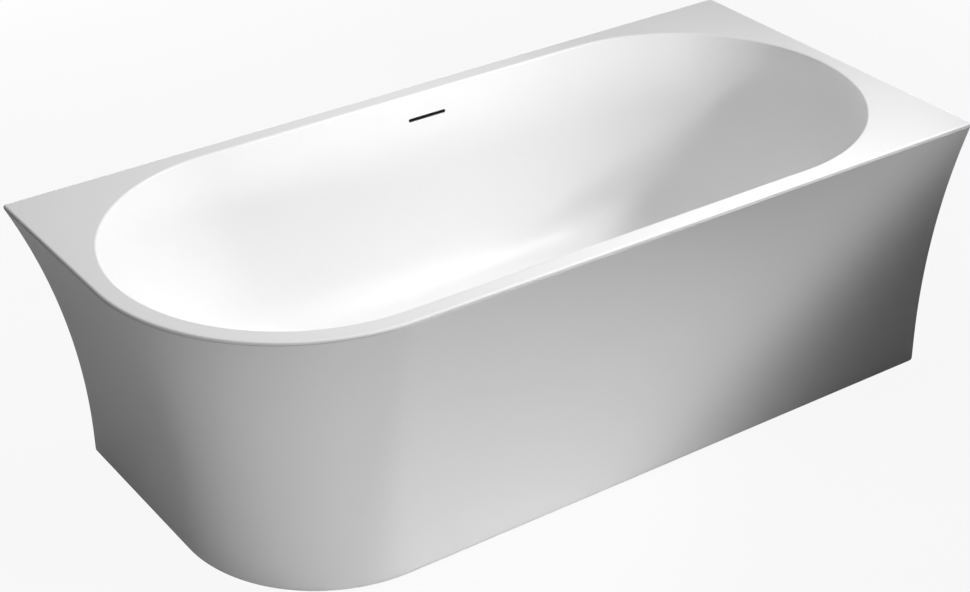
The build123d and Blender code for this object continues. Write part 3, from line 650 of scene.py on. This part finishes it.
def basin_ring(depth, outward=0.0):
    half_w = HALF_W - wall_in(depth, SIDE_SLOPE, SIDE_BOWL, outward)
    half_l = HALF_L - wall_in(depth, END_SLOPE, END_BOWL, outward)
    run = (half_l - half_w) / RUN
    return [(hub * run + half_w * cos(a), half_w * sin(a), HEIGHT - depth) for hub, a in BASIN]


def mouth_ring(share, radius=0.005, hold=0.0):
    """A ring of the rounded edge into the basin, from the rim (0) to the wall (1)."""
    ring = []
    for hub, a in BASIN:
        towards_end = abs(cos(a)) * (abs(hub) >= RUN - TINY)
        slope = atan(tan(SIDE_SLOPE) + (tan(END_SLOPE) - tan(SIDE_SLOPE)) * towards_end)
        roll = (pi / 2 - slope) * share
        out = HALF_W + radius * tan((pi / 2 - slope) / 2) - radius * sin(roll) + hold
        ring.append((hub + out * cos(a), out * sin(a), HEIGHT - radius + radius * cos(roll)))
    return ring


def mixed(first, second, share):
    return [tuple(a + (b - a) * share for a, b in zip(p, q)) for p, q in zip(first, second)]


def bowl_depths(outward, count):
    """Depths from the end of the straight wall down to the floor, closer together near the floor."""
    walls = ((SIDE_SLOPE, SIDE_BOWL), (END_SLOPE, END_BOWL))
    split = min(BASIN_DEPTH - bowl + (bowl + outward) * sin(slope) for slope, bowl in walls)
    return [split + (BASIN_DEPTH + outward - split) * sin(pi / 2 * i / count) for i in range(count + 1)]


flat = basin_ring(BASIN_DEPTH)
print("flat floor:", [round(2 * max(point[axis] for point in flat), 3) for axis in (0, 1)], "m")

# %% [markdown]
# ### Rim, basin, waste seat, and back
# The rings are listed in the order that a fingertip would follow: from the underside of the lip over
# its small round, across the rim, into the basin, over the floor to the waste seat, through the hole,
# and back along the hidden side. Extra rings beside each round keep the flat faces flat.

# %% All rings of the shell
DRAIN = (0.057, 0.060)
LIP_ROUND = 0.004
LIP_BREAK = 0.0005
FLAT_HOLD = 0.0008
FIRST_DEPTH = 0.010
STEPS = {"lip": 6, "deck": 4, "mouth": 8, "wall": 9, "bowl": 28, "back wall": 8, "back bowl": 18}


def outer_rings():
    rings = [rim_ring(LIP_BREAK, HEIGHT - RIM_T), rim_ring(0.0, HEIGHT - RIM_T + LIP_BREAK)]
    for i in range(STEPS["lip"] + 1):
        a = pi / 2 * i / STEPS["lip"]
        rings.append(rim_ring(LIP_ROUND * (1 - cos(a)), HEIGHT - LIP_ROUND * (1 - sin(a))))
    first = rim_ring(LIP_ROUND + FLAT_HOLD, HEIGHT)
    last = mouth_ring(0.0, hold=FLAT_HOLD)
    rings += [mixed(first, last, i / STEPS["deck"]) for i in range(STEPS["deck"] + 1)]
    return rings + [mouth_ring(i / STEPS["mouth"]) for i in range(STEPS["mouth"] + 1)]


def basin_rings():
    depths = bowl_depths(0.0, STEPS["bowl"])
    rings = [basin_ring(d) for d in spread(FIRST_DEPTH, depths[0], STEPS["wall"])]
    return rings + [basin_ring(d) for d in depths]


def drain_ring(floor, radius, z):
    """A circle round the waste hole whose columns look at a floor ring's columns."""
    ring = []
    for x, y, level in floor:
        a = atan2(y - DRAIN[1], x - DRAIN[0])
        ring.append((DRAIN[0] + radius * cos(a), DRAIN[1] + radius * sin(a), z))
    return ring


def seat_rings(floor, under):
    """Floor to the sunk seat, through the waste hole, and out under the floor."""
    top = FLOOR_HEIGHT
    edge = [(0.0385, 0.0), (0.0380, 0.0), (0.0373, -0.0003), (0.0370, -0.0010), (0.0370, -0.0022)]
    seat = [(0.0368, -0.0028), (0.0362, -0.0030), (0.0250, -0.0030), (0.0245, -0.0035)]
    seat += [(0.0245, -0.0085), (0.0250, -0.0090)]
    boss = [(0.0455, -0.0090), (0.0460, -0.0085), (0.0460, -0.0062), (0.0464, -0.0060)]
    ring = drain_ring(floor, edge[0][0], top)
    rings = [mixed(floor, ring, share) for share in (0.03, 0.2, 0.45, 0.7, 0.9)]
    rings += [drain_ring(floor, r, top + drop) for r, drop in edge + seat]
    hidden = [drain_ring(under, r, top + drop) for r, drop in boss]
    return rings, hidden + [mixed(hidden[-1], under, share) for share in (0.3, 0.7, 0.97)]


def back_rings(depths):
    rings = [basin_ring(d, RIM_T) for d in reversed(depths)]
    rings += [basin_ring(d, RIM_T) for d in spread(depths[0], RIM_T, STEPS["back wall"])[1:]]
    last = basin_ring(RIM_T, RIM_T)
    rim = rim_ring(LIP_BREAK, HEIGHT - RIM_T)
    return rings + [mixed(last, rim, share) for share in (0.0, 0.5)]


visible = outer_rings() + basin_rings()
back_depths = bowl_depths(RIM_T, STEPS["back bowl"])
seat, hidden = seat_rings(visible[-1], basin_ring(BASIN_DEPTH + RIM_T, RIM_T))
visible += seat
rings = visible + hidden + back_rings(back_depths)
print("rings:", len(rings), "of which hidden:", len(rings) - len(visible))


# %% Skin the rings
def skin(name, rings, shown):
    """Quads between neighbouring rings, closed both ways; faces past the shown rings are marked hidden."""
    count = len(rings[0])
    points = [p for ring in rings for p in ring]
    faces = []
    for i in range(len(rings)):
        j = (i + 1) % len(rings)
        for k in range(count):
            m = (k + 1) % count
            faces.append((i * count + k, i * count + m, j * count + m, j * count + k))
    mesh = bpy.data.meshes.new(name)
    mesh.from_pydata(points, [], faces)
    side = mesh.attributes.new("hidden_side", "FLOAT", "FACE")
    side.data.foreach_set("value", [float(f // count >= shown) for f in range(len(faces))])
    piece = bpy.data.objects.new(name, mesh)
    bpy.context.scene.collection.objects.link(piece)
    return piece


shell = skin("tub_basin", rings, len(visible))
print("shell faces:", len(shell.data.polygons))

# %% [markdown]
# ### The overflow slot
# High in the back wall a long slot with round ends lets the water out before it reaches the rim.
# The wall is flat there, so a bar of the slot's outline is simply cut out with a Boolean.

# %% Cut the overflow slot
SLOT = {"x": 0.057, "drop": 0.053, "length": 0.090, "height": 0.0075}
SLOT_CUT = (-0.012, 0.006)
ROUND_STEPS = 16
SHELL_BEND = radians(34.0)


def slot_bar(name, low, high):
    """A round-ended bar square to the leaning back wall."""
    out = Vector((0, cos(SIDE_SLOPE), -sin(SIDE_SLOPE)))
    down = out.cross(Vector((1, 0, 0)))
    y = HALF_W - SLOT["drop"] * tan(SIDE_SLOPE) + RIM_T / cos(SIDE_SLOPE)
    middle = Vector((SLOT["x"], y, HEIGHT - SLOT["drop"]))
    round_r = SLOT["height"] / 2
    straight = SLOT["length"] / 2 - round_r
    outline = []
    for side, first in ((1, -pi / 2), (-1, pi / 2)):
        for i in range(ROUND_STEPS + 1):
            a = first + pi * i / ROUND_STEPS
            outline.append((side * straight + round_r * cos(a), round_r * sin(a)))
    points = [middle + Vector((u, 0, 0)) + down * v + out * w for w in (low, high) for u, v in outline]
    n = len(outline)
    faces = [tuple(reversed(range(n))), tuple(range(n, 2 * n))]
    faces += [(i, (i + 1) % n, n + (i + 1) % n, n + i) for i in range(n)]
    mesh = bpy.data.meshes.new(name)
    mesh.from_pydata([tuple(p) for p in points], [], faces)
    bar = bpy.data.objects.new(name, mesh)
    bpy.context.scene.collection.objects.link(bar)
    return bar


bar = slot_bar("slot_cutter", *SLOT_CUT)
cut = shell.modifiers.new("slot", "BOOLEAN")
cut.operation = "DIFFERENCE"
cut.solver = "EXACT"
cut.object = bar
whole = bpy.data.meshes.new_from_object(shell.evaluated_get(bpy.context.evaluated_depsgraph_get()))
shell.modifiers.clear()
shell.data = whole
bpy.data.objects.remove(bar)
whole.name = "tub_basin"
whole.materials.clear()
whole.materials.append(FINISHES["white_acrylic"])
whole.polygons.foreach_set("use_smooth", [True] * len(whole.polygons))
whole.set_sharp_from_angle(angle=SHELL_BEND)
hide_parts("tub_shell")
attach(shell, "tub")
print("shell after the slot:", len(whole.polygons), "faces")

# %% [markdown]
# ## Threaded studs
# The tub is levelled on five zinc-plated studs. A thread is a groove that climbs one pitch with every
# turn, so it follows a rule too: a grid is rolled into a tube whose rows climb as they go round, and every
# other pair of rows is let in. Rows past the ends fold flat, and are merged away.

# %% The stud as a rule
STUD_SIZES = ("X", "Y", "Bottom", "Top", "Radius", "Pitch", "Groove", "Tip", "Rows")
STUD_COLUMNS = 20
TURN_ROWS = 4
SPARE_TURNS = 3
PITCH = 0.00175
GROOVE = 0.0009
TIP = 0.0011


def stud_rule():
    bench, size = rule_tree("stud rule", STUD_SIZES)
    counts = {"Size X": 1.0, "Size Y": 1.0, "Vertices X": STUD_COLUMNS + 1, "Vertices Y": size["Rows"] + 1}
    sheet = bench.add("GeometryNodeMeshGrid", None, counts, out="Mesh")
    spot = bench.add("GeometryNodeInputPosition")
    turn = bench.add("ShaderNodeSeparateXYZ", None, {"Vector": spot}, out="X") + 0.5
    up = bench.add("ShaderNodeSeparateXYZ", None, {"Vector": spot}, out="Y") + 0.5
    row = (up * size["Rows"]).call("ROUND")
    height = size["Bottom"] + size["Pitch"] * ((row - 1) / TURN_ROWS + turn - 1)
    height = height.call("MAXIMUM", size["Bottom"]).call("MINIMUM", size["Top"])
    radius = size["Radius"] - size["Groove"] * ((row % TURN_ROWS) > 1.5)
    for end in (height - size["Bottom"], size["Top"] - height):
        radius = radius.call("MINIMUM", size["Radius"] - size["Tip"] + end)
    radius = radius * (row > 0.5) * (row < (size["Rows"] - 0.5))
    x = size["X"] + radius * (turn * (2 * pi)).call("COSINE")
    y = size["Y"] + radius * (turn * (2 * pi)).call("SINE")
    place = bench.add("ShaderNodeCombineXYZ", None, {"X": x, "Y": y, "Z": height})
    sheet = bench.add("GeometryNodeSetPosition", None, {"Geometry": sheet, "Position": place})
    sheet = bench.add("GeometryNodeMergeByDistance", None, {"Geometry": sheet, "Distance": MERGE_GAP})
    close_tree(bench, sheet, size["Finish"])
    return bench.tree


thread = stud_rule()
for foot in ("front_left", "front_right", "back_left", "back_right", "centre"):
    low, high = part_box(f"foot_{foot}_stud")
    middle = (low + high) / 2
    turns = int((high.z - low.z) / PITCH) + SPARE_TURNS
    sizes = {"X": middle.x, "Y": middle.y, "Bottom": low.z, "Top": high.z, "Radius": (high.x - low.x) / 2}
    sizes |= {"Pitch": PITCH, "Groove": GROOVE, "Tip": TIP, "Rows": TURN_ROWS * turns}
    stud = freeze(f"thread_{foot}", thread, FINISHES["zinc_steel"], sizes)
    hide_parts(f"foot_{foot}_stud")
    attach(stud, f"foot_{foot}")

# %% [markdown]
# ## Studio
# A pale floor takes the shadow and a white surround keeps the picture clean. Four spots do the work:
# the key lights the inside of the rounded end, the side spot the back wall, the front spot most of the
# front, where the edge of its cone leaves the low right part in shade, and a low spot the rounded corner.
# Wide dim panels open the shadows above, behind and at the right end.


# %% Floor and surround
FLOOR_HALF = 30
FLOOR_DROP = -0.0003
NEAR = 2.0
FAR = 7.0
NEAR_WHITE = 0.92
NEAR_MIRRORED = 0.1
SURROUND_LIGHT = 0.03


def pale_floor():
    mesh = bpy.data.meshes.new("floor")
    corners = [(FLOOR_HALF * x, FLOOR_HALF * y, FLOOR_DROP) for x, y in ((-1, -1), (1, -1), (1, 1), (-1, 1))]
    mesh.from_pydata(corners, [], [(0, 1, 2, 3)])
    floor = bpy.data.objects.new("floor", mesh)
    bpy.context.scene.collection.objects.link(floor)
    material = bpy.data.materials.new("pale_floor")
    material.use_nodes = True
    tree = material.node_tree
    tree.nodes.clear()
    bench = Bench(tree)
    place = bench.add("ShaderNodeTexCoord", out="Object")
    mottle = noise(bench, place, 1.5, 2.0)
    tint = blend(bench, mottle, (0.60, 0.60, 0.60), (0.63, 0.63, 0.63))
    matt = bench.add("ShaderNodeBsdfDiffuse", None, {"Color": tint})
    white = bench.add("ShaderNodeEmission", None, {"Color": (1, 1, 1, 1), "Strength": 1.0})
    ray = tree.nodes.new("ShaderNodeLightPath")
    straight = Wire(tree, ray.outputs["Is Camera Ray"])
    through = Wire(tree, ray.outputs["Is Transmission Ray"])
    mirrored = Wire(tree, ray.outputs["Is Glossy Ray"]).call("MAXIMUM", through)
    reach = bench.add("ShaderNodeVectorMath", {"operation": "LENGTH"}, {0: place}, out="Value")
    far = reach.between(NEAR, FAR)
    seen = straight * (NEAR_WHITE + (1 - NEAR_WHITE) * far)
    seen = seen + mirrored * (NEAR_MIRRORED + (1 - NEAR_MIRRORED) * far)
    mix = bench.add("ShaderNodeMixShader", None, {0: seen, 1: matt, 2: white})
    end = tree.nodes.new("ShaderNodeOutputMaterial")
    tree.links.new(mix.socket, end.inputs[0])
    mesh.materials.append(material)


def white_surround(light):
    world = bpy.data.worlds.new("surround")
    bpy.context.scene.world = world
    world.use_nodes = True
    tree = world.node_tree
    tree.nodes.clear()
    bench = Bench(tree)
    ray = tree.nodes.new("ShaderNodeLightPath")
    seen = Wire(tree, ray.outputs["Is Camera Ray"]) + Wire(tree, ray.outputs["Is Glossy Ray"])
    seen = (seen + Wire(tree, ray.outputs["Is Transmission Ray"])).call("MINIMUM", 1.0)
    glow = {"Color": (1, 1, 1, 1), "Strength": light + seen * (1 - light)}
    sky = bench.add("ShaderNodeBackground", None, glow)
    end = tree.nodes.new("ShaderNodeOutputWorld")
    tree.links.new(sky.socket, end.inputs[0])


pale_floor()
white_surround(SURROUND_LIGHT)
print("floor and surround set")


# %% Lamps
def aim(lamp, place, target):
    """Puts a lamp at a place, shining at a target."""
    away = Vector(place) - Vector(target)
    lamp.matrix_world = Matrix.Translation(place) @ away.to_track_quat("Z", "Y").to_matrix().to_4x4()


def spot(name, place, target, power, angle, soft, size):
    """A spot of some watts, with its cone in degrees, the softness of its edge, and the lamp's size."""
    data = bpy.data.lights.new(name, "SPOT")
    data.energy = power
    data.spot_size = radians(angle)
    data.spot_blend = soft
    data.shadow_soft_size = size
    lamp = bpy.data.objects.new(name, data)
    bpy.context.scene.collection.objects.link(lamp)
    aim(lamp, place, target)


def panel(name, place, target, power, width, height):
    """A lit rectangle of some watts."""
    data = bpy.data.lights.new(name, "AREA")
    data.energy = power
    data.shape = "RECTANGLE"
    data.size = width
    data.size_y = height
    lamp = bpy.data.objects.new(name, data)
    bpy.context.scene.collection.objects.link(lamp)
    aim(lamp, place, target)


spot("key", (1.5, -1.0, 2.2), (-0.7, 0.0, 0.5), 88.0, 50.0, 0.7, 0.15)
spot("side", (1.7, -1.0, 1.7), (-0.24, 0.46, 1.11), 88.0, 76.0, 0.3, 0.1)
spot("front", (1.7, -2.2, 1.7), (-0.11, -0.47, 1.6), 57.0, 69.6, 0.2, 0.1)
spot("corner", (-1.9, -2.75, 0.92), (-0.35, -0.3, 0.3), 125.0, 32.0, 1.0, 0.25)
panel("top", (-0.5, 0.1, 2.6), (-0.2, 0.1, 0.0), 17.0, 1.4, 1.2)
panel("rear", (0.3, 3.0, 0.5), (0.0, 0.4, 0.3), 22.0, 2.4, 0.8)
panel("right", (3.2, 0.6, 0.5), (0.85, 0.0, 0.3), 14.0, 1.6, 0.8)
print("lamps set")

# %% [markdown]
# ## Camera
# The view of the photograph was worked out from the tub's own edges: how far round, how high,
# how far away, and how long the lens is.

# %% Camera at the photograph's angle
IMAGE_W = 970
FOCAL_PX = 2093.3
LOOK = {"round": -34.115, "up": 30.086, "tilt": -0.83}
CAMERA_AT = (-2.0443, -2.9513, 2.3851)


def photo_camera():
    a = radians(LOOK["round"])
    e = radians(LOOK["up"])
    back = Vector((sin(a) * cos(e), -cos(a) * cos(e), sin(e)))
    right = (-back).cross(Vector((0, 0, 1))).normalized()
    above = right.cross(-back)
    t = radians(LOOK["tilt"])
    side = cos(t) * right + sin(t) * above
    top = -sin(t) * right + cos(t) * above
    data = bpy.data.cameras.new("camera")
    data.sensor_fit = "HORIZONTAL"
    data.sensor_width = 36.0
    data.lens = FOCAL_PX / IMAGE_W * data.sensor_width
    camera = bpy.data.objects.new("camera", data)
    bpy.context.scene.collection.objects.link(camera)
    turn = Matrix((side, top, back)).transposed().to_4x4()
    camera.matrix_world = Matrix.Translation(CAMERA_AT) @ turn
    bpy.context.scene.camera = camera
    print("lens", round(data.lens, 2), "mm")


photo_camera()
bpy.context.scene.view_settings.view_transform = "Standard"
